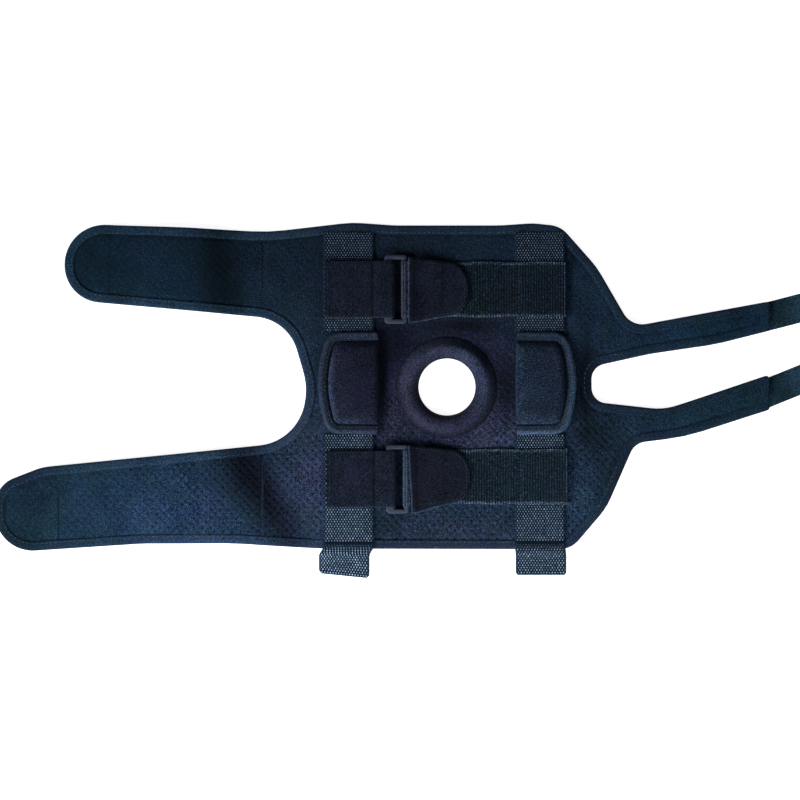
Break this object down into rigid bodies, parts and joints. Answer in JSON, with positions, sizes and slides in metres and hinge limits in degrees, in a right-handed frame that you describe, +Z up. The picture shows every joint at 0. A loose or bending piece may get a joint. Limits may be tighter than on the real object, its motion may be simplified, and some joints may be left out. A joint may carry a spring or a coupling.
{
  "type": "wraparound knee brace",
  "caption": "Open-patella wraparound knee brace laid out flat: padded sheet with bound edges, side stay channels, elastic straps through loop buckles and hook-fastened wings and arms.",
  "frame": {"origin": "middle of the bounding box's underside, on the table that the brace lies on", "axes": "+X along the brace from the wide wings to the narrow arms, +Y across it towards the thigh end, +Z up out of its outer face"},
  "size_m": [0.7354, 0.313, 0.0135],
  "materials": {
    "panel_fabric": "perforated padded knit with a loop-pile face",
    "binding_tape": "folded knitted tape",
    "ring_fabric": "smooth knit over foam",
    "stay_webbing": "coarse woven webbing",
    "pad_fabric": "brushed knit over foam",
    "loop_strap": "loop-pile strap",
    "elastic": "ribbed woven elastic",
    "hook_tab": "pile-faced hook tab",
    "hook_tape": "hook tape",
    "buckle_plastic": "moulded satin"
  },
  "bodies": {
    "root": {"body_panel": "panel_fabric", "upper_wing": "panel_fabric", "lower_wing": "panel_fabric", "edge_binding": "binding_tape", "patella_ring": "ring_fabric", "left_upper_webbing": "stay_webbing", "left_lower_webbing": "stay_webbing", "right_upper_webbing": "stay_webbing", "right_lower_webbing": "stay_webbing", "left_side_pad": "pad_fabric", "right_side_pad": "pad_fabric", "left_pad_binding": "binding_tape", "right_pad_binding": "binding_tape", "upper_anchor_strap": "loop_strap", "lower_anchor_strap": "loop_strap", "upper_buckle": "buckle_plastic", "lower_buckle": "buckle_plastic", "upper_elastic_strap": "elastic", "lower_elastic_strap": "elastic", "upper_fastening_tab": "hook_tab", "lower_fastening_tab": "hook_tab", "upper_arm_tab": "hook_tape", "lower_arm_tab": "hook_tape", "upper_wing_hook": "hook_tape", "lower_wing_hook": "hook_tape"}
  },
  "joints": []
}
